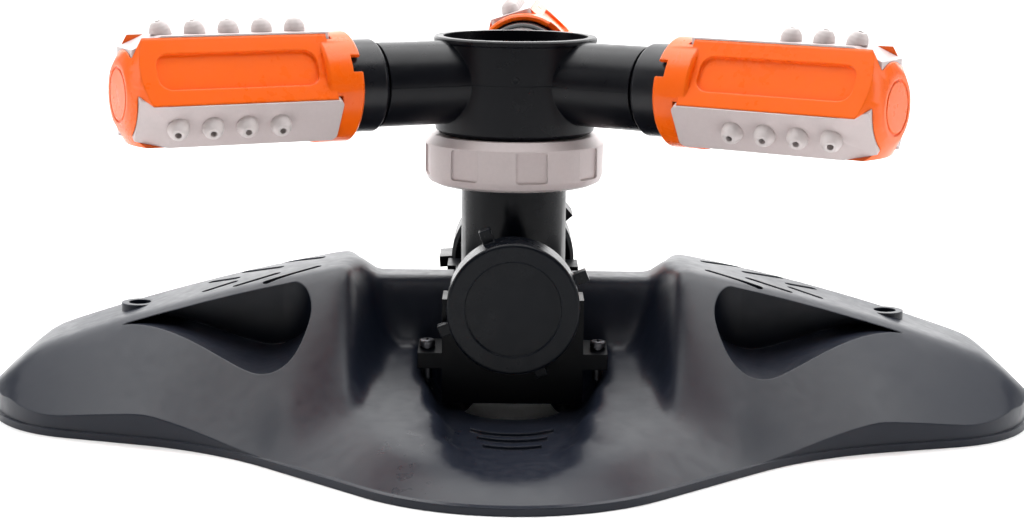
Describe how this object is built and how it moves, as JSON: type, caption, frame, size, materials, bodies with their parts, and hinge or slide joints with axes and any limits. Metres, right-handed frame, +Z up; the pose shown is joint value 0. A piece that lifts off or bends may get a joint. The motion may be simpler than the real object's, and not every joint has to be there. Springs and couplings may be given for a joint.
{
  "type": "lawn sprinkler",
  "caption": "Rotary lawn sprinkler: arms with turnable nozzle heads on a hub that spins over a low moulded base, with a capped outlet and a swivel hose inlet.",
  "frame": {"origin": "on the ground under the rotor's axis, midway between the stake holes", "axes": "+Z up along the rotor's axis, +X from one wing to the other, +Y towards the hose inlet"},
  "size_m": [0.2552, 0.1942, 0.0983],
  "materials": {
    "base_plastic": "satin graphite moulding",
    "black_plastic": "satin black moulding",
    "grey_plastic": "light warm grey moulding",
    "nozzle_plastic": "pale grey moulding",
    "orange_plastic": "glossy orange moulding",
    "acetal": "white low-friction plastic",
    "seal_rubber": "black seal rubber",
    "screw_steel": "zinc-plated steel",
    "filter_steel": "stainless steel"
  },
  "bodies": {
    "base": {"base_shell": "base_plastic", "tee_saddle": "base_plastic", "saddle_screws": "screw_steel", "tee_screws": "screw_steel", "tee_body": "base_plastic", "inlet_tailpiece": "black_plastic", "inlet_washer": "seal_rubber", "inlet_filter": "filter_steel", "spindle": "acetal"},
    "rotor": {"rotor_hub": "black_plastic", "hub_lid": "black_plastic", "retaining_ring": "grey_plastic", "thrust_washer_lower": "acetal", "thrust_washer_upper": "acetal", "rotor_seal": "seal_rubber", "arm_collar_left": "black_plastic", "arm_collar_right": "black_plastic", "arm_collar_rear": "black_plastic", "arm_oring_left": "seal_rubber", "arm_oring_right": "seal_rubber", "arm_oring_rear": "seal_rubber"},
    "cap_thread": {"cap_washer": "seal_rubber"},
    "cap": {"outlet_cap": "base_plastic"},
    "inlet": {"inlet_nut": "black_plastic"},
    "head_left": {"nozzle_core_left": "grey_plastic", "nozzle_tips_left": "nozzle_plastic", "spray_cage_left": "orange_plastic"},
    "head_right": {"nozzle_core_right": "grey_plastic", "nozzle_tips_right": "nozzle_plastic", "spray_cage_right": "orange_plastic"},
    "head_rear": {"nozzle_core_rear": "grey_plastic", "nozzle_tips_rear": "nozzle_plastic", "spray_cage_rear": "orange_plastic"}
  },
  "joints": [
    {"name": "rotor_spin", "type": "hinge", "parent": "base", "child": "rotor", "pos_m": [0, 0, 0.0818], "axis": [0, 0, 1], "continuous": true},
    {"name": "cap_travel", "type": "slide", "parent": "base", "child": "cap_thread", "axis": [0, -1, 0], "range_m": [0, 0.0073]},
    {"name": "cap_turn", "type": "hinge", "parent": "cap_thread", "child": "cap", "pos_m": [0, -0.033, 0.0322], "axis": [0, -1, 0], "range_deg": [0, 1440]},
    {"name": "inlet_swivel", "type": "hinge", "parent": "base", "child": "inlet", "pos_m": [0, 0.037, 0.0322], "axis": [0, 1, 0], "continuous": true},
    {"name": "head_twist_left", "type": "hinge", "parent": "rotor", "child": "head_left", "pos_m": [0, 0, 0.0818], "axis": [-0.891, -0.454, 0], "continuous": true},
    {"name": "head_twist_right", "type": "hinge", "parent": "rotor", "child": "head_right", "pos_m": [0, 0, 0.0818], "axis": [0.8387, -0.5446, 0], "continuous": true},
    {"name": "head_twist_rear", "type": "hinge", "parent": "rotor", "child": "head_rear", "pos_m": [0, 0, 0.0818], "axis": [0.0523, 0.9986, 0], "continuous": true}
  ],
  "couplings": [
    {"joint": "cap_travel", "follows": "cap_turn", "m_per_rad": 0.00028648}
  ]
}
